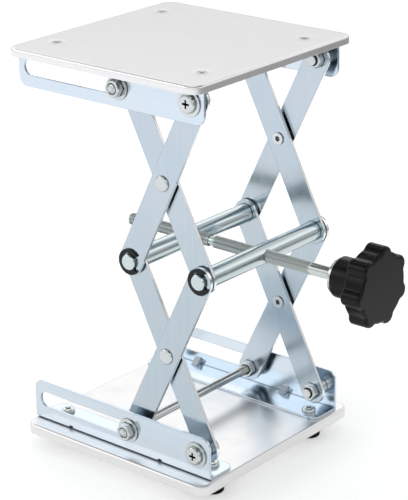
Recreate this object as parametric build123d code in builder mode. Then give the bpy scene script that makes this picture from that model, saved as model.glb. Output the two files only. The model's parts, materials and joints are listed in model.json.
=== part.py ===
"""Scissor lab jack, shown at the top of its travel.

Frame: +X runs along the drive screw towards the knob, +Y runs across the jack along the
cross bars, +Z is up. The origin is the middle of the base, level with the underside of the feet.
Every linkage member lies in a plane of constant Y, and the jack is mirrored about Y = 0.
"""
from build123d import *
import os
from math import cos, radians, sin, tan

# ---------------------------------------------------------------- driving dimensions (mm)
PLATE_SIZE = 150.0          # side of the square platform and base
PLATE_CORNER = 8.0          # plan radius of the plate corners
SHEET = 1.5                 # plate sheet thickness
BASE_RIM = 6.5              # overall depth of the base's turned-down rim
TOP_RIM = 5.0               # overall depth of the platform's turned-down rim
RIM_ROUND = 1.8             # outer bend radius of the rims
FOOT_DROP = 9.0             # rubber foot below the rim
ARM_LENGTH = 123.4          # pivot to pivot
ARM_ANGLE = 63.65           # arm slope at full height, degrees
ARM_WIDTH = 17.2
ARM_SHEET = 2.0
FIXED_X = 61.0              # x of the pivots that do not slide
BASE_PIVOT_RISE = 14.4      # pivot above the top of the base
TOP_PIVOT_DROP = 12.2       # pivot below the underside of the platform
RUN = 0.05                  # radial and end clearance of a running fit

# layers of the linkage, as distances from the middle plane Y = 0
INNER_ARM = 52.5            # inner face of the inner arms
OUTER_ARM = 56.0            # inner face of the outer arms
RAIL_IN = 62.5              # inner face of a rail's upright leg
RAIL_OUT = 64.0             # outer face of a rail's upright leg

# rails
RAIL_START = -74.8
RAIL_END = 71.8
RAIL_PAST_PIVOT = 12.3      # upright leg beyond the pivot line
RAIL_CORNER = 6.0
FLANGE_WIDTH = 23.0
SLOT_START = -70.2
SLOT_HEIGHT = 10.2
SLOT_END = 14.0
GUSSET_X = (-44.0, 31.5)
BASE_GUSSET = 5.5           # leg of the ribs inside the base rails
TOP_GUSSET = 3.0            # leg of the ribs inside the platform rails, clear of the slot bushes
GUSSET_WIDTH = 5.0
GUSSET_DENT = 0.6           # width of the outside dent over that of the rib
DENT_HEIGHT = 2.5
GUSSET_ROOT = 0.3           # overlap of a rib with the leg it stands on
BEND_R = 1.35               # outer bend radius of a rail
RIM_GAP = 0.1               # between a platform rail and the rim it passes
BASE_SCREW_X = 61.0
BASE_SCREW_Y = 49.0
TOP_SCREW_X = 57.3
TOP_SCREW_Y = 48.2

# pins, bars and fasteners (radii)
PIN_R = 3.0                 # M6 pivot screws and tie rods
JOURNAL_R = 5.0             # stepped ends of the cross bars
BAR_R = 6.25
CLIP_GROOVE_R = 4.0
BAR_END = 60.5
TIE_END = 70.2
RIVET_R = 3.15
SCREW_R = 4.0               # M8 drive screw
NUT_FLATS = 10.0
PLATE_SCREW_R = 2.0         # M4
PLATE_HEAD_R = 3.7          # countersunk head of a platform screw
PLATE_HEAD_ANGLE = 100
HEX_CORNER = 0.56           # corner radius of a nut over its width across flats
RECESS_ARM = 0.26           # width of a cross recess arm over its span
RECESS_DEPTH = 0.42         # depth of a cross recess over its span
RECESS_DRAFT = 12           # wall taper of a cross recess, degrees

# drive screw and knob stations along X
SCREW_START = -45.0
UNDERCUT = (20.5, 25.5)
UNDERCUT_R = 2.9
THREAD_END = 100.5
WASHER_X = 118.95
HUB_START = 121.2
HUB_END = 134.5
LOBES_START = 138.5
KNOB_FACE = 151.8
HUB_R = 12.6
LOBE_TIP_R = 25.0
LOBE_COUNT = 7
LOBE_PHASE = 30.0           # angle of one lobe's crest from +Y, degrees

# ---------------------------------------------------------------- derived levels
BASE_TOP = FOOT_DROP + BASE_RIM
PIVOT_LOW = BASE_TOP + BASE_PIVOT_RISE
RISE = ARM_LENGTH * sin(radians(ARM_ANGLE))
REACH = ARM_LENGTH * cos(radians(ARM_ANGLE))
PIVOT_MID = PIVOT_LOW + RISE
PIVOT_TOP = PIVOT_MID + RISE
PLATFORM_UNDER = PIVOT_TOP + TOP_PIVOT_DROP
PLATFORM_TOP = PLATFORM_UNDER + SHEET
SLIDE_X = FIXED_X - REACH
CROSS_X = FIXED_X - REACH / 2
LOW_CROSS = PIVOT_LOW + RISE / 2
HIGH_CROSS = PIVOT_MID + RISE / 2
INNER_OUT = INNER_ARM + ARM_SHEET
OUTER_OUT = OUTER_ARM + ARM_SHEET
SIDES = {"near": -1, "far": 1}

os.makedirs("parts", exist_ok=True)


def save(builder, name):
    """Labels a finished piece and writes it as parts/name.step."""
    builder.part.label = name
    export_step(builder.part, f"parts/{name}.step")


def across(y, x=0.0, z=0.0):
    """Plane with its normal along +Y and its local x along +X, local y along +Z."""
    return Plane(origin=(x, y, z), x_dir=(1, 0, 0), z_dir=(0, -1, 0))


def disc(x, z, y_from, y_to, radius, bore=0.0, mode=Mode.ADD):
    """Adds a round length along Y between two distances from the middle plane."""
    low, high = sorted((y_from, y_to))
    with BuildSketch(across(high, x, z)) as profile:
        Circle(radius)
        if bore:
            Circle(bore, mode=Mode.SUBTRACT)
    extrude(profile.sketch, amount=high - low, mode=mode)


def hexagon(x, z, y_from, y_to, flats, bore):
    """Adds a hexagon length along Y, with a bore and softened outer corners."""
    low, high = sorted((y_from, y_to))
    with BuildSketch(across(high, x, z)) as profile:
        RegularPolygon(flats / 2, 6, major_radius=False)
        Circle(flats * HEX_CORNER, mode=Mode.INTERSECT)
        Circle(bore, mode=Mode.SUBTRACT)
    extrude(profile.sketch, amount=high - low)


def phillips(x, z, y_face, side, size):
    """Cuts a tapered cross recess into a screw head whose face is at y_face."""
    with BuildSketch(Plane(origin=(x, y_face, z), x_dir=(1, 0, 0), z_dir=(0, -side, 0))) as cross:
        Rectangle(size, size * RECESS_ARM)
        Rectangle(size * RECESS_ARM, size)
    extrude(cross.sketch, amount=size * RECESS_DEPTH, taper=RECESS_DRAFT, mode=Mode.SUBTRACT)


# ================================================================ sheet metal plates
def pressed_plate(name, top, rim, screw_x, screw_y, countersunk):
    """A square sheet with its rim turned down all round."""
    with BuildPart() as plate:
        with BuildSketch(Plane.XY.offset(top - rim)):
            RectangleRounded(PLATE_SIZE, PLATE_SIZE, PLATE_CORNER)
        extrude(amount=rim)
        fillet(plate.faces().sort_by(Axis.Z)[-1].edges(), RIM_ROUND)
        with BuildSketch(Plane.XY.offset(top - rim)):
            inner = PLATE_SIZE - 2 * SHEET
            RectangleRounded(inner, inner, PLATE_CORNER - SHEET)
        extrude(amount=rim - SHEET, mode=Mode.SUBTRACT)
        with Locations(Plane.XY.offset(top)):
            with GridLocations(2 * screw_x, 2 * screw_y, 2, 2):
                if countersunk:
                    CounterSinkHole(PLATE_SCREW_R + RUN, PLATE_HEAD_R, SHEET, PLATE_HEAD_ANGLE)
                else:
                    Hole(PLATE_SCREW_R + RUN, depth=SHEET)
    save(plate, name)


pressed_plate("base_plate", BASE_TOP, BASE_RIM, BASE_SCREW_X, BASE_SCREW_Y, False)
pressed_plate("top_plate", PLATFORM_TOP, TOP_RIM, TOP_SCREW_X, TOP_SCREW_Y, True)


# ================================================================ slotted rails
def legs(side, seat, edge):
    """Adds the upright leg and the flange of an angle rail."""
    mid_x = (RAIL_START + RAIL_END) / 2
    with BuildSketch(across(RAIL_OUT if side > 0 else -RAIL_IN)) as upright_leg:
        with Locations((mid_x, (seat + edge) / 2)):
            Rectangle(RAIL_END - RAIL_START, abs(edge - seat))
    extrude(upright_leg.sketch, amount=RAIL_OUT - RAIL_IN)
    with BuildSketch(Plane.XY.offset(seat)) as flange:
        with Locations((mid_x, side * (RAIL_OUT - FLANGE_WIDTH / 2))):
            Rectangle(RAIL_END - RAIL_START, FLANGE_WIDTH)
    extrude(flange.sketch, amount=SHEET if edge > seat else -SHEET)


def near(edges, axis, value, reach=0.01):
    """The edges that lie within reach of one coordinate."""
    return edges.filter_by_position(axis, value - reach, value + reach)


def gusset(x, side, seat, way):
    """A rib pressed across the bend: a web on the inside and a dent on the outside."""
    leg = BASE_GUSSET if way > 0 else TOP_GUSSET
    inner = side * RAIL_IN
    root = seat + way * (SHEET - GUSSET_ROOT)
    with BuildSketch(Plane.YZ.offset(x - GUSSET_WIDTH / 2)) as web:
        with BuildLine():
            Polyline((inner + side * GUSSET_ROOT, root), (inner - side * leg, root),
                     (inner + side * GUSSET_ROOT, root + way * leg), close=True)
        make_face()
    extrude(web.sketch, amount=GUSSET_WIDTH)
    dent_width = GUSSET_WIDTH * GUSSET_DENT
    outer = side * (RAIL_OUT + GUSSET_ROOT)
    with BuildSketch(Plane.YZ.offset(x - dent_width / 2)) as dent:
        with BuildLine():
            Polyline((outer, seat - way * GUSSET_ROOT),
                     (side * (RAIL_OUT - DENT_HEIGHT), seat - way * GUSSET_ROOT),
                     (outer, seat + way * DENT_HEIGHT), close=True)
        make_face()
    extrude(dent.sketch, amount=dent_width, mode=Mode.SUBTRACT)


def rail_holes(side, seat, way, pivot, screw_x, screw_y):
    """Cuts the slot and pivot hole of the upright leg and the screw holes of the flange."""
    with BuildSketch(across(side * RAIL_OUT)) as openings:
        with Locations(((SLOT_START + SLOT_END) / 2, pivot)):
            SlotOverall(SLOT_END - SLOT_START, SLOT_HEIGHT)
        with Locations((FIXED_X, pivot)):
            Circle(PIN_R + RUN)
    extrude(openings.sketch, amount=2 * SHEET, both=True, mode=Mode.SUBTRACT)
    with BuildSketch(Plane.XY.offset(seat)) as screw_holes:
        with Locations((-screw_x, side * screw_y), (screw_x, side * screw_y)):
            Circle(PLATE_SCREW_R + RUN)
    extrude(screw_holes.sketch, amount=way * SHEET, mode=Mode.SUBTRACT)


def rim_notch():
    """Cuts the end of a platform rail back where it passes the turned-down rim."""
    with BuildSketch(Plane.XY.offset(PLATFORM_TOP - TOP_RIM - RIM_GAP)) as notch:
        with Locations((-PLATE_SIZE / 2, 0)):
            Rectangle(2 * (SHEET + RIM_GAP), PLATE_SIZE)
    extrude(notch.sketch, amount=TOP_RIM + RIM_GAP, mode=Mode.SUBTRACT)


def rail(name, side, seat, pivot, screw_x, screw_y):
    """An angle rail: an upright leg with a slot and a pivot hole, and a flange on the plate."""
    way = 1 if pivot > seat else -1
    with BuildPart() as leg:
        legs(side, seat, pivot + way * RAIL_PAST_PIVOT)
        fillet(leg.edges().filter_by(Axis.Y).group_by(Axis.Z)[-1 if way > 0 else 0], RAIL_CORNER)
        flange_tips = near(leg.edges().filter_by(Axis.Z), Axis.Y, side * (RAIL_OUT - FLANGE_WIDTH))
        fillet(flange_tips, RAIL_CORNER)
        bend = near(near(leg.edges().filter_by(Axis.X), Axis.Y, side * RAIL_OUT), Axis.Z, seat)
        fillet(bend, BEND_R)
        for x in GUSSET_X:
            gusset(x, side, seat, way)
        rail_holes(side, seat, way, pivot, screw_x, screw_y)
        if way < 0:
            rim_notch()
    save(leg, name)


for place, side in SIDES.items():
    rail(f"base_rail_{place}", side, BASE_TOP, PIVOT_LOW, BASE_SCREW_X, BASE_SCREW_Y)
    rail(f"top_rail_{place}", side, PLATFORM_UNDER, PIVOT_TOP, TOP_SCREW_X, TOP_SCREW_Y)


# ================================================================ scissor arms
def arm(name, side, inner_face, x, z, slope, end_radii):
    """A flat bar with round ends, a hole at each end and a rivet hole in the middle."""
    face = side * inner_face + (ARM_SHEET if side > 0 else 0)
    with BuildPart() as bar:
        with BuildSketch(across(face, x, z)):
            with Locations(Location((0, 0), slope)):
                SlotCenterToCenter(ARM_LENGTH, ARM_WIDTH)
            with Locations(Location((0, 0), slope)):
                with Locations((-ARM_LENGTH / 2, 0)):
                    Circle(end_radii[0] + RUN, mode=Mode.SUBTRACT)
                with Locations((ARM_LENGTH / 2, 0)):
                    Circle(end_radii[1] + RUN, mode=Mode.SUBTRACT)
                Circle(RIVET_R + RUN, mode=Mode.SUBTRACT)
        extrude(amount=ARM_SHEET)
    save(bar, name)


for place, side in SIDES.items():
    arm(f"lower_outer_arm_{place}", side, OUTER_ARM, CROSS_X, LOW_CROSS, ARM_ANGLE, (PIN_R, JOURNAL_R))
    arm(f"lower_inner_arm_{place}", side, INNER_ARM, CROSS_X, LOW_CROSS, -ARM_ANGLE, (JOURNAL_R, PIN_R))
    arm(f"upper_outer_arm_{place}", side, OUTER_ARM, CROSS_X, HIGH_CROSS, ARM_ANGLE, (JOURNAL_R, PIN_R))
    arm(f"upper_inner_arm_{place}", side, INNER_ARM, CROSS_X, HIGH_CROSS, -ARM_ANGLE, (PIN_R, JOURNAL_R))


# ================================================================ tubular rivets at the crossings
RIVET_HEAD_R = 5.0
RIVET_HEAD = 1.5
RIVET_TAIL_R = 3.9
RIVET_BORE_R = 1.7
RIVET_TAIL = 0.9
RIVET_DOME = 1.35


def rivets(name, z):
    """One hollow rivet each side: domed head outside, rolled tail inside the inner arm."""
    tail = INNER_ARM - RUN
    head = OUTER_OUT + RIVET_HEAD
    with BuildPart() as pair:
        for side in SIDES.values():
            disc(CROSS_X, z, side * (tail - RIVET_TAIL), side * tail, RIVET_TAIL_R)
            disc(CROSS_X, z, side * tail, side * OUTER_OUT, RIVET_R)
            disc(CROSS_X, z, side * OUTER_OUT, side * head, RIVET_HEAD_R)
        domes = pair.edges().filter_by(GeomType.CIRCLE).group_by(Axis.Y)
        fillet(domes[0] + domes[-1], RIVET_DOME)
        for side in SIDES.values():
            disc(CROSS_X, z, side * (tail - RIVET_TAIL), side * OUTER_ARM, RIVET_BORE_R,
                 mode=Mode.SUBTRACT)
    save(pair, name)


def rings(name, x, z, inner, outer, y_from, y_to):
    """A washer or spacer on each side of the jack."""
    with BuildPart() as pair:
        for side in SIDES.values():
            disc(x, z, side * y_from, side * y_to, outer, inner)
    save(pair, name)


RIVET_WASHER_R = 7.0
JOURNAL_WASHER_R = 8.0

for stage, z in {"lower": LOW_CROSS, "upper": HIGH_CROSS}.items():
    rivets(f"{stage}_cross_rivets", z)
    rings(f"{stage}_rivet_washers", CROSS_X, z, RIVET_R + RUN, RIVET_WASHER_R,
          INNER_OUT + RUN, OUTER_ARM - RUN)


# ================================================================ cross bars and their clips
CLIP_R = 8.2
CLIP_SHEET = 1.1
CLIP_RIM = 2.3
CLIP_MOUTH = 9.5
CLIP_TONGUE = 4.2           # width of each of the three inner tongues
CLIP_TONGUE_FROM = 68       # first tongue from the middle of the mouth, degrees
CLIP_TONGUE_SPAN = 224      # first tongue to third, degrees
BAR_CHAMFER = 0.4
JOURNAL_CHAMFER = 0.6
CLIP_START = OUTER_OUT + RUN


def cross_bar(name, x):
    """A round bar with stepped journals, a clip groove at each end and the screw hole."""
    with BuildPart() as bar:
        disc(x, PIVOT_MID, -(INNER_ARM - RUN), INNER_ARM - RUN, BAR_R)
        chamfer(bar.edges().filter_by(GeomType.CIRCLE), BAR_CHAMFER)
        for side in SIDES.values():
            disc(x, PIVOT_MID, side * (INNER_ARM - RUN), side * BAR_END, JOURNAL_R)
        tips = bar.edges().filter_by(GeomType.CIRCLE).group_by(Axis.Y)
        chamfer(tips[0] + tips[-1], JOURNAL_CHAMFER)
        for side in SIDES.values():
            disc(x, PIVOT_MID, side * (CLIP_START - RUN), side * (CLIP_START + CLIP_SHEET + RUN),
                 JOURNAL_R + 1, CLIP_GROOVE_R, Mode.SUBTRACT)
        with BuildSketch(Plane(origin=(x, 0, PIVOT_MID), x_dir=(0, 1, 0), z_dir=(1, 0, 0))):
            Circle(SCREW_R + RUN)
        extrude(amount=BAR_R + 1, both=True, mode=Mode.SUBTRACT)
    save(bar, name)


def clips(name, x, mouth_angle):
    """An E-shaped retaining clip in each groove, with its mouth towards the knob."""
    with BuildPart() as pair:
        for side in SIDES.values():
            far_face = max(side * CLIP_START, side * (CLIP_START + CLIP_SHEET))
            with BuildSketch(across(far_face, x, PIVOT_MID)):
                Circle(CLIP_R)
                Circle(CLIP_R - CLIP_RIM, mode=Mode.SUBTRACT)
                with PolarLocations((CLIP_R + CLIP_GROOVE_R) / 2, 3, mouth_angle + CLIP_TONGUE_FROM,
                                    CLIP_TONGUE_SPAN, endpoint=True):
                    Rectangle(CLIP_R - CLIP_GROOVE_R - RIM_GAP, CLIP_TONGUE)
                with Locations(Location((0, 0), mouth_angle)):
                    with Locations((CLIP_R, 0)):
                        Rectangle(CLIP_R, CLIP_MOUTH, mode=Mode.SUBTRACT)
                Circle(CLIP_GROOVE_R + RUN, mode=Mode.SUBTRACT)
            extrude(amount=CLIP_SHEET)
    save(pair, name)


for end, x, mouth in (("front", FIXED_X, 15.0), ("rear", SLIDE_X, 0.0)):
    cross_bar(f"{end}_cross_bar", x)
    clips(f"{end}_bar_clips", x, mouth)
    rings(f"{end}_bar_washers", x, PIVOT_MID, JOURNAL_R + RUN, JOURNAL_WASHER_R,
          INNER_OUT + RUN, OUTER_ARM - RUN)


# ================================================================ fixed pivots
WASHER_R = 8.0
WASHER_SHEET = 1.0
HEAD_R = 5.6
HEAD_HEIGHT = 2.6
NUT_HEIGHT = 4.6
STUD_PAST_NUT = 1.6
SPACER_R = 5.0
PIVOT_RECESS = 5.2
PIVOT_HEAD_ROUND = 1.43


def fixed_pivots(stage, z, arm_in):
    """Pan-head screw, outer washer, spacer and lock nut on each side of a plate's fixed pivot."""
    arm_out = arm_in + ARM_SHEET
    head_seat = RAIL_OUT + WASHER_SHEET
    tip = arm_in - RUN - NUT_HEIGHT - STUD_PAST_NUT
    with BuildPart() as screws:
        for side in SIDES.values():
            disc(FIXED_X, z, side * tip, side * head_seat, PIN_R)
            disc(FIXED_X, z, side * head_seat, side * (head_seat + HEAD_HEIGHT), HEAD_R)
        rims = screws.edges().filter_by(GeomType.CIRCLE).group_by(Axis.Y)
        fillet(rims[0] + rims[-1], PIVOT_HEAD_ROUND)
        for side in SIDES.values():
            phillips(FIXED_X, z, side * (head_seat + HEAD_HEIGHT), side, PIVOT_RECESS)
    save(screws, f"{stage}_pivot_screws")
    rings(f"{stage}_pivot_washers", FIXED_X, z, PIN_R + RUN, WASHER_R, RAIL_OUT, head_seat)
    rings(f"{stage}_pivot_spacers", FIXED_X, z, PIN_R + RUN, SPACER_R, arm_out + RUN, RAIL_IN)
    with BuildPart() as nuts:
        for side in SIDES.values():
            hexagon(FIXED_X, z, side * (arm_in - RUN - NUT_HEIGHT), side * (arm_in - RUN),
                    NUT_FLATS, PIN_R + RUN)
    save(nuts, f"{stage}_pivot_nuts")


fixed_pivots("base", PIVOT_LOW, INNER_ARM)
fixed_pivots("top", PIVOT_TOP, OUTER_ARM)


# ================================================================ sliding tie rods
BUSH_R = 4.9
BUSH_FLANGE_R = 7.5
BUSH_FLANGE = 1.2
TIE_NUT = 4.5
TIE_WASHER_R = 7.6


def tie_rod(stage, z, arm_in):
    """A threaded rod across the jack, with bushes that slide in the rail slots."""
    arm_out = arm_in + ARM_SHEET
    outer_seat = RAIL_OUT + 2 * RUN
    with BuildPart() as rod:
        disc(SLIDE_X, z, -TIE_END, TIE_END, PIN_R)
        ends = rod.edges().filter_by(GeomType.CIRCLE).group_by(Axis.Y)
        chamfer(ends[0] + ends[-1], JOURNAL_CHAMFER)
    save(rod, f"{stage}_tie_rod")
    with BuildPart() as bushes:
        for side in SIDES.values():
            disc(SLIDE_X, z, side * (arm_out + RUN), side * (RAIL_IN - RUN), BUSH_FLANGE_R, PIN_R + RUN)
            disc(SLIDE_X, z, side * (RAIL_IN - RUN), side * outer_seat, BUSH_R, PIN_R + RUN)
            disc(SLIDE_X, z, side * (arm_out + RUN), side * (RAIL_IN - RUN - BUSH_FLANGE),
                 BUSH_FLANGE_R + 1, BUSH_R, Mode.SUBTRACT)
    save(bushes, f"{stage}_slot_bushes")
    rings(f"{stage}_tie_washers", SLIDE_X, z, PIN_R + RUN, TIE_WASHER_R,
          outer_seat, outer_seat + WASHER_SHEET)
    with BuildPart() as nuts:
        for side in SIDES.values():
            outer = outer_seat + WASHER_SHEET
            hexagon(SLIDE_X, z, side * outer, side * (outer + TIE_NUT), NUT_FLATS, PIN_R + RUN)
            hexagon(SLIDE_X, z, side * (arm_in - RUN - TIE_NUT), side * (arm_in - RUN),
                    NUT_FLATS, PIN_R + RUN)
    save(nuts, f"{stage}_tie_nuts")


tie_rod("lower", PIVOT_LOW, OUTER_ARM)
tie_rod("upper", PIVOT_TOP, INNER_ARM)


# ================================================================ plate screws, nuts and feet
PLATE_NUT_FLATS = 7.0
PLATE_NUT = 3.2
PAN_HEAD_R = 4.4
PAN_HEAD = 2.4
FOOT_R = 8.0
FOOT_TAPER = 0.8
FOOT_ROUND = 1.0
PAN_RECESS = 4.4
PAN_ROUND = 1.44
PLATE_RECESS = 3.6
HEAD_SUNK = 0.15            # platform screw heads below the platform surface
HEAD_SLACK = 0.22           # platform screw head inside its countersink
SCREW_PAST_NUT = 1.0
NUT_POCKET = 5.2            # depth of the pocket in a foot for its nut and screw tip
HEAD_CONE = (PLATE_HEAD_R - PLATE_SCREW_R) / tan(radians(PLATE_HEAD_ANGLE / 2))


def grid(half_x, half_y):
    """The four plan positions of a rectangle of fasteners."""
    return [(x, y) for x in (-half_x, half_x) for y in (-half_y, half_y)]


def cross_recess(level, places, size):
    """Cuts cross recesses from above into heads whose faces are at one level."""
    with BuildSketch(Plane.XY.offset(level)) as crosses:
        with Locations(*places):
            Rectangle(size, size * RECESS_ARM)
            Rectangle(size * RECESS_ARM, size)
    extrude(crosses.sketch, amount=-size * RECESS_DEPTH, taper=RECESS_DRAFT, mode=Mode.SUBTRACT)


def upright(low, high, places, radius, bore=0.0):
    """Adds a round length along Z at each place."""
    with BuildSketch(Plane.XY.offset(low)) as profile:
        with Locations(*places):
            Circle(radius)
            if bore:
                Circle(bore, mode=Mode.SUBTRACT)
    extrude(profile.sketch, amount=high - low)


def plate_nuts(name, places, top):
    """Hexagon nuts hanging below a level."""
    with BuildPart() as nuts:
        with BuildSketch(Plane.XY.offset(top - PLATE_NUT)):
            with Locations(*places):
                RegularPolygon(PLATE_NUT_FLATS / 2, 6, major_radius=False)
                Circle(PLATE_SCREW_R + RUN, mode=Mode.SUBTRACT)
        extrude(amount=PLATE_NUT)
    save(nuts, name)


base_places = grid(BASE_SCREW_X, BASE_SCREW_Y)
flange_top = BASE_TOP + SHEET
base_under = BASE_TOP - SHEET

with BuildPart() as base_screws:
    upright(base_under - PLATE_NUT - SCREW_PAST_NUT, flange_top, base_places, PLATE_SCREW_R)
    upright(flange_top, flange_top + PAN_HEAD, base_places, PAN_HEAD_R)
    fillet(base_screws.edges().filter_by(GeomType.CIRCLE).group_by(Axis.Z)[-1], PAN_ROUND)
    cross_recess(flange_top + PAN_HEAD, base_places, PAN_RECESS)
save(base_screws, "base_rail_screws")
plate_nuts("base_rail_nuts", base_places, base_under)

for number, (x, y) in enumerate(base_places, 1):
    with BuildPart() as foot:
        with BuildSketch(Plane.XY):
            with Locations((x, y)):
                Circle(FOOT_R - FOOT_TAPER)
        with BuildSketch(Plane.XY.offset(FOOT_DROP)):
            with Locations((x, y)):
                Circle(FOOT_R)
        loft()
        upright(FOOT_DROP, base_under, [(x, y)], FOOT_R)
        fillet(foot.edges().filter_by(GeomType.CIRCLE).group_by(Axis.Z)[0], FOOT_ROUND)
        with BuildSketch(Plane.XY.offset(base_under)):
            with Locations((x, y)):
                RegularPolygon(PLATE_NUT_FLATS / 2 + RUN, 6, major_radius=False)
        extrude(amount=-NUT_POCKET, mode=Mode.SUBTRACT)
    save(foot, f"rubber_foot_{number}")

top_places = grid(TOP_SCREW_X, TOP_SCREW_Y)
flange_under = PLATFORM_UNDER - SHEET

with BuildPart() as top_screws:
    upright(flange_under - PLATE_NUT - SCREW_PAST_NUT, PLATFORM_TOP - HEAD_CONE, top_places,
            PLATE_SCREW_R)
    for x, y in top_places:
        with BuildSketch(Plane.XY.offset(PLATFORM_TOP - HEAD_CONE)):
            with Locations((x, y)):
                Circle(PLATE_SCREW_R)
        with BuildSketch(Plane.XY.offset(PLATFORM_TOP - HEAD_SUNK)):
            with Locations((x, y)):
                Circle(PLATE_HEAD_R - HEAD_SLACK)
        loft()
    cross_recess(PLATFORM_TOP - HEAD_SUNK, top_places, PLATE_RECESS)
save(top_screws, "top_rail_screws")
plate_nuts("top_rail_nuts", top_places, flange_under)


# ================================================================ drive screw and knob
def along(x):
    """Plane across the screw axis, with its normal along +X and its local x along +Y."""
    return Plane(origin=(x, 0, PIVOT_MID), x_dir=(0, 1, 0), z_dir=(1, 0, 0))


def turned(x_from, x_to, radius, bore=0.0):
    """Adds a round length along the screw axis."""
    with BuildSketch(along(x_from)) as profile:
        Circle(radius)
        if bore:
            Circle(bore, mode=Mode.SUBTRACT)
    extrude(profile.sketch, amount=x_to - x_from)


INSERT_R = 7.0
INSERT_FLANGE_R = 11.6
INSERT_FLANGE = 1.0
INSERT_END = 143.0
SHANK_END = 142.0
KNOB_WASHER = 1.2
KNOB_WASHER_R = 11.0
LOBE_R = 5.6                # radius of a lobe's crest
LOBE_REACH = LOBE_TIP_R - LOBE_R
VALLEY_R = 21.9
VALLEY_BLEND = 3.0
KNOB_ROUND = 2.0            # front edge of the lobes
KNOB_BACK_ROUND = 1.0       # rear edge of the lobes
HUB_FLARE = 4.5             # growth of the hub where it meets the lobes
HUB_ROUND = 0.8
SHANK_R = 3.85              # plain end of the drive screw
TIP_CHAMFER = 0.9

with BuildPart() as screw:
    turned(SCREW_START, UNDERCUT[0], SCREW_R)
    turned(UNDERCUT[0], UNDERCUT[1], UNDERCUT_R)
    turned(UNDERCUT[1], THREAD_END, SCREW_R)
    turned(THREAD_END, SHANK_END, SHANK_R)
    tips = screw.edges().filter_by(GeomType.CIRCLE).group_by(Axis.X)
    chamfer(tips[0], TIP_CHAMFER)
save(screw, "lead_screw")

with BuildPart() as washer:
    turned(WASHER_X, WASHER_X + KNOB_WASHER, KNOB_WASHER_R, SCREW_R + RUN)
save(washer, "knob_washer")

with BuildPart() as insert:
    turned(HUB_START - INSERT_FLANGE + RUN, HUB_START, INSERT_FLANGE_R, SCREW_R + RUN)
    turned(HUB_START, INSERT_END, INSERT_R, SCREW_R + RUN)
save(insert, "knob_insert")


def lobed_outline(shrink=0.0):
    """Seven round crests on a disc, blended into shallow valleys."""
    Circle(VALLEY_R - shrink)
    with PolarLocations(LOBE_REACH, LOBE_COUNT, start_angle=LOBE_PHASE):
        Circle(LOBE_R - shrink)


with BuildPart() as knob:
    with BuildSketch(along(LOBES_START)) as lobed:
        lobed_outline()
        fillet(lobed.vertices(), VALLEY_BLEND)
    extrude(amount=KNOB_FACE - LOBES_START)
    rims = knob.faces().filter_by(Plane.YZ).sort_by(Axis.X)
    fillet(rims[-1].edges(), KNOB_ROUND)
    fillet(knob.faces().filter_by(Plane.YZ).sort_by(Axis.X)[0].edges(), KNOB_BACK_ROUND)
    with BuildSketch(along(HUB_END)):
        Circle(HUB_R)
    with BuildSketch(along(LOBES_START)):
        Circle(HUB_R + HUB_FLARE)
    loft()
    turned(HUB_START, HUB_END, HUB_R)
    back = knob.edges().filter_by(GeomType.CIRCLE).group_by(Axis.X)[0]
    fillet(back, HUB_ROUND)
    with BuildSketch(along(HUB_START)):
        Circle(INSERT_R + RUN)
    extrude(amount=INSERT_END - HUB_START + RUN, mode=Mode.SUBTRACT)
save(knob, "knob")

# ---------------------------------------------------------------- travel, printed for the record
LOWEST_ANGLE = 8.65
fold = ARM_ANGLE - LOWEST_ANGLE
slide_travel = ARM_LENGTH * (cos(radians(LOWEST_ANGLE)) - cos(radians(ARM_ANGLE)))
print(f"pivots z: {PIVOT_LOW:.3f} {PIVOT_MID:.3f} {PIVOT_TOP:.3f}  platform {PLATFORM_TOP:.3f}")
print(f"slide x {SLIDE_X:.4f}  cross x {CROSS_X:.4f}  cross z {LOW_CROSS:.4f} {HIGH_CROSS:.4f}")
print(f"fold {fold:.2f} deg, slider travel {slide_travel:.4f}, screw travel {slide_travel / 2:.4f}")
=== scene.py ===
"""Looks of a scissor lab jack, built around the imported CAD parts.

Everything is in metres in the jack's own frame: +X along the drive screw towards the knob,
+Y along the cross bars, +Z up, and the soles of the feet at Z = 0.
"""
import json
import math

import bpy
from mathutils import Matrix, Vector


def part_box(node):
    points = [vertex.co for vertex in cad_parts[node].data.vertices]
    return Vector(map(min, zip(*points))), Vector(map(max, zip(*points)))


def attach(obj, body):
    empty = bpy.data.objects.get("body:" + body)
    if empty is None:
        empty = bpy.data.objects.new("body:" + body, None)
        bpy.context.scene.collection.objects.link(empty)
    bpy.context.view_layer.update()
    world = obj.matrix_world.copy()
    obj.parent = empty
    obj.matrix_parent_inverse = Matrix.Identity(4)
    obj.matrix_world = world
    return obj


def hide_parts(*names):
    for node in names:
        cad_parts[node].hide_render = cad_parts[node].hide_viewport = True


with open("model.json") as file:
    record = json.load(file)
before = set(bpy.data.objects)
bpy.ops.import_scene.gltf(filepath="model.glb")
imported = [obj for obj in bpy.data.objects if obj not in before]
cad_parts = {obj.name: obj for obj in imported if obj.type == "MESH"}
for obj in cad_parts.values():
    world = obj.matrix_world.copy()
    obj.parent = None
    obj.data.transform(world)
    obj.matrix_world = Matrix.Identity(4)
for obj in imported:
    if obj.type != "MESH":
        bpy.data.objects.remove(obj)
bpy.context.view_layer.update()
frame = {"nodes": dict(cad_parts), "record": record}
MM = 0.001


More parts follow.
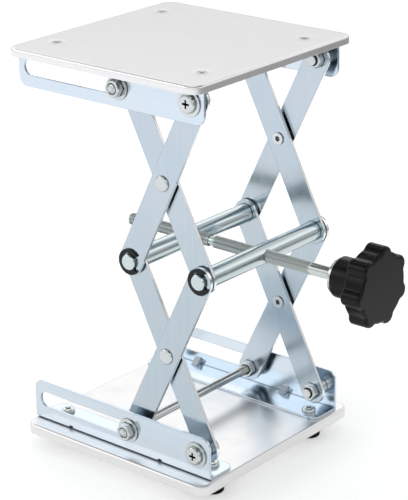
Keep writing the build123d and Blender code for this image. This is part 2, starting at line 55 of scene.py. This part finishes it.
# ================================================================ node networks
class Net:
    """The node network of a material or world. Inputs are values or other nodes' sockets."""

    def __init__(self, owner):
        self.owner = owner
        owner.use_nodes = True
        self.tree = owner.node_tree
        self.tree.nodes.clear()

    def add(self, kind, settings=None, **inputs):
        """Adds one node and returns it. Input names use _ for spaces, or i0, i1 for an index."""
        node = self.tree.nodes.new("ShaderNode" + kind)
        for key, value in (settings or {}).items():
            setattr(node, key, value)
        for key, value in inputs.items():
            by_index = key[1:].isdigit()
            socket = node.inputs[int(key[1:]) if by_index else key.replace("_", " ")]
            if isinstance(value, bpy.types.NodeSocket):
                self.tree.links.new(value, socket)
            else:
                socket.default_value = value
        return node

    def math(self, operation, a, b=0.0):
        return self.add("Math", {"operation": operation}, i0=a, i1=b).outputs[0]

    def vector(self, operation, a, b=(0.0, 0.0, 0.0)):
        """A vector operation. A dot product or a length gives a value, the others a vector."""
        node = self.add("VectorMath", {"operation": operation}, i0=a, i1=b)
        return node.outputs["Value" if operation in ("DOT_PRODUCT", "LENGTH") else "Vector"]

    def mix(self, share, a, b):
        return self.add("Mix", {"data_type": "RGBA"}, i0=share, i6=a, i7=b).outputs[2]

    def spread(self, value, low, high, to_low, to_high, smooth=False):
        """Maps low..high onto to_low..to_high, held at both ends, and eased if smooth."""
        settings = {"interpolation_type": "SMOOTHSTEP" if smooth else "LINEAR"}
        return self.add("MapRange", settings, Value=value, From_Min=low, From_Max=high,
                        To_Min=to_low, To_Max=to_high).outputs[0]

    def noise(self, coords, scale, detail=3.0, stretch=None):
        if stretch:
            coords = self.add("Mapping", None, Vector=coords, Scale=stretch).outputs[0]
        return self.add("TexNoise", None, Vector=coords, Scale=scale, Detail=detail).outputs["Fac"]

    def finish(self, shader, output="OutputMaterial"):
        self.add(output, None, Surface=shader.outputs[0])
        return self.owner


def rgb(r, g, b):
    return (r, g, b, 1.0)


# ================================================================ materials
EDGE_STARTS, EDGE_FULL = 0.98, 0.80     # dot product of the rounded and the flat normal
OPEN_NONE, OPEN_FULL = 0.25, 0.85       # share of open air round a point, from crease to flat: the painted crease shade is full at the first and gone at the second
GRAIN_BAND = (0.3, 0.7)                 # the part of a noise's range that shows
CLOUD_BAND = (0.35, 0.65)
SMUDGE_SCALE, SMUDGE_ROUGH = 90.0, 0.05
MARK_SCALE = 45.0
GRAIN_HEIGHT, PEEL_HEIGHT = 0.05 * MM, 0.15 * MM
SIDEWAYS = 0.5                          # a cut edge has less of its normal than this along Y
DISH_FLOOR = 0.6                        # radius of a dish's flat floor over its rim's

ALL_WAYS = (1, 1, 1)                    # grain stretched along no direction, or along one
ALONG_X = (0.02, 1, 1)
ALONG_Y = (1, 0.02, 1)
ALONG_Z = (1, 1, 0.02)

# painted shade: a thin dark line along the rounded edges of arms and rails
PAINTED_EDGE_SHADE = (0.10, 0.15, 0.17)
# painted highlight: the arms' cut faces near white, as if catching a light
CUT_FACE_HIGHLIGHT = (0.93, 0.95, 0.95)
# painted shade in thread roots
ROOT_SHADE = (0.10, 0.13, 0.125)
ROOT_COVER = 0.75                       # how much of the colour the painted shade takes over in a thread's root


def edges(net, radius):
    """(0 to 1 along rounded edges, which take a rubbed tone or, on arms and rails, painted shade; the
    normal rounded over those edges).
    """
    rounded = net.add("Bevel", {"samples": 8}, Radius=radius).outputs[0]
    flat = net.add("NewGeometry").outputs["Normal"]
    agree = net.vector("DOT_PRODUCT", rounded, flat)
    return net.spread(agree, EDGE_STARTS, EDGE_FULL, 0.0, 1.0), rounded


def relief(net, coords, place, radius, depth):
    """Height of a shallow dish at a place and at its three mirror images about the middle."""
    plan = net.vector("ABSOLUTE", coords)
    away = net.vector("SUBTRACT", plan, (*place, 0.0))
    distance = net.vector("LENGTH", net.vector("MULTIPLY", away, (1.0, 1.0, 0.0)))
    return net.spread(distance, radius * DISH_FLOOR, radius, -depth, 0.0, smooth=True)


def shade_in_creases(net, dark, reach):
    """1 on open surfaces, falling to a dark share in corners and recesses: painted shade where a point
    is closed in.
    """
    open_air = net.add("AmbientOcclusion", {"samples": 8}, Distance=reach).outputs["AO"]
    return net.spread(open_air, OPEN_NONE, OPEN_FULL, dark, 1.0)


def cut_face_mask(net):
    """1 on the cut edges of a flat part that lies across Y, and 0 on its two faces."""
    normal = net.add("TexCoord").outputs["Normal"]
    facing = net.add("SeparateXYZ", None, Vector=normal).outputs["Y"]
    return net.math("LESS_THAN", net.math("ABSOLUTE", facing), SIDEWAYS)


def brightened(base):
    """The tone of an edge rubbed bright."""
    return tuple(c + (0.95 - c) * 0.6 for c in base)


def metal(name, *, base, tint, rough, grain_scale, grain_rough, bump, grain=ALL_WAYS, edge=0.3 * MM,
          shine=0.45, cloud_scale=28.0, contrast=0.08, crease_shade=0.45, crease_reach=1.8 * MM,
          edge_tone=None, dimples=None, paint_cut_faces=False, roots=False):
    """Plated or bare steel: fine grain, slow colour drift, painted shade in creases, edges worn bright
    or darkened with painted shade, and where asked a painted highlight on cut faces and painted shade in
    thread roots.
    """
    net = Net(bpy.data.materials.new(name))
    coords = net.add("TexCoord").outputs["Object"]
    lines = net.noise(coords, grain_scale, 4.0, grain)
    cloud = net.noise(coords, cloud_scale, 3.0)
    smudges = net.noise(coords, SMUDGE_SCALE, 4.0)

    toned = net.mix(net.spread(cloud, *CLOUD_BAND, 0.0, 1.0), rgb(*base), rgb(*tint))
    streaks = net.spread(lines, *GRAIN_BAND, 1.0 - contrast / 2, 1.0 + contrast / 2)
    # painted shade: the colour darkens in creases and recesses, by how closed in each point is
    shade = net.math("MULTIPLY", streaks, shade_in_creases(net, crease_shade, crease_reach))
    toned = net.add("HueSaturation", None, Color=toned, Value=shade).outputs[0]
    # painted highlight on the cut faces
    if paint_cut_faces:
        toned = net.mix(cut_face_mask(net), toned, rgb(*CUT_FACE_HIGHLIGHT))
    # painted shade in thread roots, deepest where a point lies deepest
    if roots:
        root = net.add("Attribute", {"attribute_name": "root"}).outputs["Fac"]
        toned = net.mix(net.spread(root, 0.2, 0.8, 0.0, ROOT_COVER), toned, rgb(*ROOT_SHADE))
    edge_mask, normal = edges(net, edge)
    # edges take a lighter rubbed tone, or painted shade where an edge tone is given
    toned = net.mix(net.math("MULTIPLY", edge_mask, shine), toned, rgb(*(edge_tone or brightened(base))))

    grained = net.spread(lines, *GRAIN_BAND, -grain_rough / 2, grain_rough / 2)
    smudged = net.spread(smudges, 0.45, 0.75, 0.0, SMUDGE_ROUGH)
    roughness = net.math("ADD", net.math("ADD", rough, grained), smudged)
    normal = net.add("Bump", None, Strength=bump, Distance=GRAIN_HEIGHT, Height=lines,
                     Normal=normal).outputs[0]
    if dimples:
        normal = net.add("Bump", None, Strength=1.0, Distance=1.0,
                         Height=relief(net, coords, *dimples), Normal=normal).outputs[0]
    return net.finish(net.add("BsdfPrincipled", None, Base_Color=toned, Metallic=1.0,
                              Roughness=roughness, Normal=normal))


def plastic(name, *, base, rough, gloss, peel_scale=260.0, bump=0.05, edge=0.5 * MM):
    """Moulded plastic or rubber: faint orange peel, handling marks and lighter rubbed edges."""
    net = Net(bpy.data.materials.new(name))
    coords = net.add("TexCoord").outputs["Object"]
    peel = net.noise(coords, peel_scale, 3.0)
    marks = net.noise(coords, MARK_SCALE, 5.0)
    edge_mask, normal = edges(net, edge)
    paler = tuple(c * 2.0 + 0.008 for c in base)
    colour = net.mix(net.math("MULTIPLY", edge_mask, 0.4), rgb(*base), rgb(*paler))
    roughness = net.math("ADD", rough, net.spread(marks, 0.45, 0.7, -0.02, 0.10))
    normal = net.add("Bump", None, Strength=bump, Distance=PEEL_HEIGHT, Height=peel,
                     Normal=normal).outputs[0]
    return net.finish(net.add("BsdfPrincipled", None, Base_Color=colour, Roughness=roughness,
                              Specular_IOR_Level=gloss, Normal=normal))


DIMPLES = ((57.3 * MM, 48.2 * MM), 7.2 * MM, 0.10 * MM)     # place, radius and depth

plate = metal("plate_steel", base=(0.76, 0.76, 0.757), tint=(0.78, 0.775, 0.77), rough=0.29,
              grain=ALONG_X, grain_scale=1500.0, grain_rough=0.03, bump=0.03, shine=0.3,
              cloud_scale=14.0, contrast=0.025, crease_shade=0.7, dimples=DIMPLES)
rail = metal("rail_steel", base=(0.60, 0.68, 0.75), tint=(0.61, 0.68, 0.74), rough=0.17,
             grain=ALONG_X, grain_scale=700.0, grain_rough=0.03, bump=0.03, edge=0.45 * MM,
             shine=0.75, contrast=0.05, edge_tone=PAINTED_EDGE_SHADE)
arm = metal("arm_steel", base=(0.46, 0.54, 0.60), tint=(0.49, 0.55, 0.60), rough=0.17,
            grain=ALONG_Z, grain_scale=700.0, grain_rough=0.03, bump=0.03, edge=0.45 * MM,
            shine=0.75, contrast=0.05, edge_tone=PAINTED_EDGE_SHADE, paint_cut_faces=True)
bar = metal("bar_steel", base=(0.55, 0.63, 0.64), tint=(0.59, 0.65, 0.66), rough=0.14,
            grain=ALONG_Y, grain_scale=900.0, grain_rough=0.05, bump=0.05)
fastener = metal("fastener_steel", base=(0.62, 0.65, 0.65), tint=(0.55, 0.58, 0.58), rough=0.18,
                 grain_scale=1100.0, grain_rough=0.08, bump=0.06, edge=0.2 * MM, crease_shade=0.12,
                 roots=True)
thread = metal("thread_steel", base=(0.54, 0.60, 0.58), tint=(0.60, 0.64, 0.62), rough=0.22,
               grain_scale=1100.0, grain_rough=0.10, bump=0.06, edge=0.1 * MM, crease_shade=0.35,
               crease_reach=1.2 * MM, roots=True)
clip = plastic("clip_oxide", base=(0.006, 0.006, 0.007), rough=0.34, gloss=0.25)
knob = plastic("knob_plastic", base=(0.0015, 0.0015, 0.0018), rough=0.24, gloss=0.20)
rubber = plastic("foot_rubber", base=(0.004, 0.004, 0.004), rough=0.70, gloss=0.1,
                 peel_scale=700.0, bump=0.25)
BY_SLOT = {"plate_steel": plate, "rail_steel": rail, "arm_steel": arm, "bar_steel": bar,
           "fastener_steel": fastener, "screw_steel": thread, "clip_black": clip,
           "knob_black": knob, "foot_rubber": rubber}

for entry in frame["record"]["subparts"]:
    node = frame["nodes"][entry["node"]]
    node.data.materials.clear()
    node.data.materials.append(BY_SLOT[entry["material_slot"]])


# ================================================================ turned and threaded pieces
def add_piece(name, points, faces, material, body, stands_for=(), smooth=True, roots=None):
    """Makes a mesh piece and rides it on a CAD body. Roots say how deep each point lies in a thread,
    which sets the painted shade in its roots.
    """
    mesh = bpy.data.meshes.new(name)
    mesh.from_pydata(points, [], faces)
    mesh.materials.append(material)
    mesh.polygons.foreach_set("use_smooth", [smooth] * len(mesh.polygons))
    if roots:
        mesh.attributes.new("root", "FLOAT", "POINT").data.foreach_set("value", roots)
    mesh.update()
    piece = bpy.data.objects.new(name, mesh)
    bpy.context.scene.collection.objects.link(piece)
    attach(piece, body)
    if stands_for:
        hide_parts(*stands_for)


WELD_DIGITS = 6             # points that agree to this many decimals of a metre are one


def solids(node):
    """The bounding box of each separate solid in a CAD node, as (low, high) pairs."""
    obj = frame["nodes"][node]
    points = [obj.matrix_world @ v.co for v in obj.data.vertices]
    spots, group = {}, list(range(len(points)))

    def find(i):
        while group[i] != i:
            group[i] = group[group[i]]
            i = group[i]
        return i

    for i, p in enumerate(points):
        key = tuple(round(c, WELD_DIGITS) for c in p)
        group[find(i)] = find(spots.setdefault(key, i))
    for face in obj.data.polygons:
        for i in face.vertices[1:]:
            group[find(i)] = find(face.vertices[0])
    boxes = {}
    for i, p in enumerate(points):
        low, high = boxes.setdefault(find(i), (Vector(p), Vector(p)))
        for k in range(3):
            low[k], high[k] = min(low[k], p[k]), max(high[k], p[k])
    return list(boxes.values())


def tube_faces(rings, sides):
    """Quads between neighbouring rings, and a cap over each end ring."""
    faces = []
    for r in range(rings - 1):
        for i in range(sides):
            j = (i + 1) % sides
            low, high = r * sides, (r + 1) * sides
            faces.append((low + i, low + j, high + j, high + i))
    faces.append(tuple(reversed(range(sides))))
    faces.append(tuple(range((rings - 1) * sides, rings * sides)))
    return faces


def rod(centre, along, stations, radius_at, sides):
    """Points of a round rod and how far each lies in. radius_at(station, angle) gives its surface."""
    side = Vector((0, 0, 1)).cross(along).normalized()
    up = along.cross(side)
    points, inset = [], []
    for x in stations:
        for i in range(sides):
            angle = 2 * math.pi * i / sides
            r = radius_at(x, angle)
            points.append(centre + along * x + side * (r * math.cos(angle)) + up * (r * math.sin(angle)))
            inset.append(r)
    crest = max(inset)
    return points, [crest - r for r in inset]


FLANK_SLOPE = 1.15          # steeper than a plain V, which leaves a flat at the root
CREST_FLAT = 0.06           # share of the depth left off the V, which leaves a flat at the crest
THREAD_STEPS = 10           # rings of points in one turn of a thread
THREAD_SIDES = 40
RUNOUT = 2                  # turns over which a thread dies away before the plain shank
SHOULDER = 0.1 * MM         # length of the step from a thread's end down to the plain shank


def groove(x, angle, pitch, hand, depth):
    """How far a wide V thread, flat at its crest and root, lies below its crest."""
    phase = (x / pitch - hand * angle / (2 * math.pi)) % 1.0
    return depth * min(1.0, max(0.0, FLANK_SLOPE * (1.0 - abs(2 * phase - 1.0)) - CREST_FLAT))


def stations_between(start, end, pitch):
    """Ring positions fine enough for a thread, with both ends included."""
    count = round((end - start) / pitch * THREAD_STEPS)
    return [start + (end - start) * i / count for i in range(count + 1)]


def drive_screw(pitch, depth, chamfer, undercut, undercut_r, plain_from, plain_r):
    """Two threads of opposite hand, an undercut between them, and a plain end into the knob."""
    low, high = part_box("lead_screw")
    crest = (high.z - low.z) / 2

    def surface(x, angle):
        if undercut[0] <= x <= undercut[1]:
            return undercut_r
        if x > plain_from:
            return plain_r
        hand = 1 if x < undercut[0] else -1
        ends = [(plain_from - x) / (RUNOUT * pitch), *(abs(x - end) / pitch for end in undercut)]
        tip = max(0.0, low.x + chamfer - x)
        return crest - tip - min(1.0, *ends) * groove(x, angle, pitch, hand, depth)

    rings = stations_between(low.x, plain_from, pitch) + [plain_from + SHOULDER, high.x]
    centre = Vector((0, 0, (low.z + high.z) / 2))
    points, inset = rod(centre, Vector((1, 0, 0)), rings, surface, THREAD_SIDES)
    stations = [x for x in rings for _ in range(THREAD_SIDES)]
    threaded = [low.x + 2 * chamfer < x < undercut[0] - pitch or undercut[1] + pitch < x < plain_from
                for x in stations]
    roots = [cut * i / depth for cut, i in zip(threaded, inset)]
    faces = tube_faces(len(rings), THREAD_SIDES)
    add_piece("drive_screw_threads", points, faces, thread, "drive", ("lead_screw",),
              roots=roots)


def tie_rod(node, body, pitch, depth, chamfer, thread_length):
    """A rod threaded at both ends for its nuts, with a plain middle rolled a little thinner."""
    low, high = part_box(node)
    crest = (high.z - low.z) / 2
    plain_to = high.y - thread_length

    def surface(y, angle):
        if abs(y) < plain_to:
            return crest - depth / 2
        tip = max(0.0, abs(y) - (high.y - chamfer))
        fade = min(1.0, (abs(y) - plain_to) / pitch)
        return crest - tip - (depth / 2 * (1 - fade) + fade * groove(y, angle, pitch, 1, depth))

    rings = stations_between(low.y, -plain_to, pitch) + stations_between(plain_to, high.y, pitch)
    centre = Vector(((low.x + high.x) / 2, 0, (low.z + high.z) / 2))
    points, inset = rod(centre, Vector((0, 1, 0)), rings, surface, THREAD_SIDES)
    stations = [y for y in rings for _ in range(THREAD_SIDES)]
    threaded = [plain_to + pitch < abs(y) < high.y - 2 * chamfer for y in stations]
    roots = [cut * i / depth for cut, i in zip(threaded, inset)]
    faces = tube_faces(len(rings), THREAD_SIDES)
    add_piece(node + "_threads", points, faces, fastener, body, (node,),
              roots=roots)


NUT_SIDES = 72
NUT_FACE = 0.95             # width of a nut's bearing face, over its width across flats
NUT_BORE = 0.31             # radius of the bore, over the same width
NUT_LEAD = 0.06             # chamfer of the bore, over the same width
NUT_CHAMFER = math.tan(math.radians(30))
CHAMFER_RING = 0.35         # place of an extra ring of points on a corner chamfer's slope


def nut_profile(height, flats, bore):
    """(station, radius limit) pairs round a nut's section: bore, face, chamfers, face and bore."""
    face = flats * NUT_FACE / 2
    corner = flats / math.sqrt(3)
    drop = (corner - face) * NUT_CHAMFER
    lead = NUT_LEAD * flats
    rise, ring = drop * CHAMFER_RING, face + (corner - face) * CHAMFER_RING
    return [(lead, bore), (0.0, bore + lead), (0.0, face), (rise, ring), (drop, corner),
            (height - drop, corner), (height - rise, ring), (height, face), (height, bore + lead),
            (height - lead, bore)]


def nuts(node, body):
    """Chamfered hexagon nuts in the place of every solid of a CAD node."""
    points, faces = [], []
    for low, high in solids(node):
        size = high - low
        k = min(range(3), key=lambda i: size[i])
        u, v = (i for i in range(3) if i != k)
        flats = min(size[u], size[v])
        turn = 0.0 if size[u] > size[v] else math.radians(30)
        middle = (low + high) / 2
        profile = nut_profile(size[k], flats, flats * NUT_BORE)
        for station, limit in profile:
            for i in range(NUT_SIDES):
                angle = 2 * math.pi * i / NUT_SIDES
                wedge = (angle - turn) % (math.pi / 3) - math.pi / 6
                r = min(limit, flats / 2 / math.cos(wedge), max(size[u], size[v]) / 2)
                point = Vector(middle)
                point[k] = low[k] + station
                point[u] += r * math.cos(angle)
                point[v] += r * math.sin(angle)
                points.append(point)
        first = len(points) - len(profile) * NUT_SIDES
        for r in range(len(profile)):
            here, there = first + r * NUT_SIDES, first + (r + 1) % len(profile) * NUT_SIDES
            for i in range(NUT_SIDES):
                j = (i + 1) % NUT_SIDES
                quad = (here + i, here + j, there + j, there + i)
                faces.append(quad if k == 2 else quad[::-1])
    add_piece(node + "_chamfered", points, faces, fastener, body, (node,),
              smooth=False)


BODY_OF = {node: body for body, members in frame["record"]["behaviour"]["bodies"].items()
           for node in members}

drive_screw(pitch=1.25 * MM, depth=0.62 * MM, chamfer=0.9 * MM, undercut=(20.5 * MM, 25.5 * MM),
            undercut_r=2.9 * MM, plain_from=100.5 * MM, plain_r=3.85 * MM)
for rod_node in ("lower_tie_rod", "upper_tie_rod"):
    tie_rod(rod_node, BODY_OF[rod_node], pitch=1.0 * MM, depth=0.5 * MM, chamfer=0.6 * MM,
            thread_length=27.0 * MM)
for nut_node in ("lower_tie_nuts", "upper_tie_nuts", "base_pivot_nuts", "top_pivot_nuts",
                 "base_rail_nuts", "top_rail_nuts"):
    nuts(nut_node, BODY_OF[nut_node])


# ================================================================ studio
FLOOR_HALF = 6.0
GLOW_RAMP = (0.20, 0.70)        # distances between which the near glow, kept low as a painted shadow of the jack, becomes the far one
DIMMEST = 0.03                  # share of the glow left beyond the dim side, a painted shade
DIM_TONE = 0.5                  # share of the floor's tone left there, a painted shade
SKY_RISE = (0.29, 0.38)         # heights of view, as sines, where the walls brighten
SKY_FALL = (0.55, 0.80)         # and where they dim again overhead


def floor(near_glow, far_glow, dim_side, fade):
    """A wide pale light table at the feet's soles: dimmer close by as a painted shadow of the jack, and
    dark beyond one side as painted shade in both glow and tone.
    """
    net = Net(bpy.data.materials.new("floor_white"))
    coords = net.add("TexCoord").outputs["Object"]
    tone = net.spread(net.noise(coords, 3.0, 2.0), *GRAIN_BAND, 0.87, 0.89)
    share = net.spread(net.vector("LENGTH", coords), *GLOW_RAMP, 0.0, 1.0, smooth=True)
    along = net.vector("DOT_PRODUCT", coords, dim_side)
    dim = net.spread(along, *fade, 1.0, DIMMEST, smooth=True)
    # painted shadow and shade: the glow is lower near the jack and falls away beyond the dim side
    light = net.math("MULTIPLY", net.spread(share, 0.0, 1.0, near_glow, far_glow), dim)
    glow_colour = net.mix(share, rgb(0.98, 1.0, 0.985), rgb(0.97, 0.985, 1.04))
    # painted shade: the floor's own tone darkens beyond the dim side
    tone = net.math("MULTIPLY", tone, net.spread(dim, DIMMEST, 1.0, DIM_TONE, 1.0))
    pale = net.add("CombineColor", None, Red=tone, Green=tone, Blue=tone).outputs[0]
    shader = net.add("BsdfPrincipled", None, Roughness=0.85, Base_Color=pale,
                     Specular_IOR_Level=0.2, Emission_Color=glow_colour, Emission_Strength=light)

    mesh = bpy.data.meshes.new("floor")
    corners = [(FLOOR_HALF * x, FLOOR_HALF * y, 0) for x, y in ((-1, -1), (1, -1), (1, 1), (-1, 1))]
    mesh.from_pydata(corners, [], [(0, 1, 2, 3)])
    mesh.materials.append(net.finish(shader))
    obj = bpy.data.objects.new("floor", mesh)
    bpy.context.scene.collection.objects.link(obj)


def softbox(name, position, aim, size, power, spread=180.0):
    """A square area light that points at a place, with its beam narrowed to a spread in degrees."""
    data = bpy.data.lights.new(name, "AREA")
    data.shape, data.size = "SQUARE", size
    data.energy, data.spread = power, math.radians(spread)
    obj = bpy.data.objects.new(name, data)
    obj.location = position
    obj.rotation_mode = "QUATERNION"
    obj.rotation_quaternion = (Vector(aim) - Vector(position)).to_track_quat("-Z", "Y")
    obj.visible_camera = False
    bpy.context.scene.collection.objects.link(obj)


def studio_walls(bright_side, level, swing, low, peak, overhead):
    """Soft surroundings: brighter to one side, brightest a third of the way up, dim overhead."""
    net = Net(bpy.data.worlds.new("studio"))
    way = net.add("TexCoord").outputs["Generated"]
    side = net.vector("DOT_PRODUCT", way, bright_side)
    around = net.spread(side, -1.0, 1.0, level - swing, level + swing)
    height = net.add("SeparateXYZ", None, Vector=way).outputs["Z"]
    rising = net.spread(height, *SKY_RISE, low, peak, smooth=True)
    falling = net.spread(height, *SKY_FALL, 1.0, overhead, smooth=True)
    strength = net.math("MULTIPLY", around, net.math("MULTIPLY", rising, falling))
    sky = net.add("Background", None, Color=rgb(0.985, 0.985, 1.0), Strength=strength)
    bpy.context.scene.world = net.finish(sky, "OutputWorld")


floor(near_glow=0.37, far_glow=0.52, dim_side=(0.762, 0.647, 0.0), fade=(0.27, 0.78))
studio_walls(bright_side=(-0.97, -0.24, 0.0), level=0.86, swing=0.12, low=0.80, peak=1.70,
             overhead=0.12)
softbox("left_key", position=(-1.1, -1.0, 0.80), aim=(0.0, 0.0, 0.13), size=0.8, power=0.9)
softbox("overhead", position=(-0.25, 0.05, 1.60), aim=(-0.15, 0.0, 0.0), size=1.1, power=1.0,
        spread=80.0)


# ================================================================ camera
AZIMUTH, ELEVATION, ROLL = math.radians(40.35), math.radians(20.78), math.radians(-0.94)
DISTANCE, LENS, SENSOR = 1.1855, 137.18, 36.0
TARGET = Vector((0.0179, -0.00266, 0.134))

back = Vector((math.sin(AZIMUTH) * math.cos(ELEVATION), -math.cos(AZIMUTH) * math.cos(ELEVATION),
               math.sin(ELEVATION)))
level = Vector((math.cos(AZIMUTH), math.sin(AZIMUTH), 0.0))
upward = back.cross(level)
right = level * math.cos(ROLL) + upward * math.sin(ROLL)
top = upward * math.cos(ROLL) - level * math.sin(ROLL)
turn = Matrix((right, top, back)).transposed().to_4x4()

lens = bpy.data.cameras.new("camera")
lens.lens, lens.sensor_width = LENS, SENSOR
camera = bpy.data.objects.new("camera", lens)
bpy.context.scene.collection.objects.link(camera)
camera.matrix_world = Matrix.Translation(TARGET + back * DISTANCE) @ turn
bpy.context.scene.camera = camera
bpy.context.scene.view_settings.view_transform = "Standard"
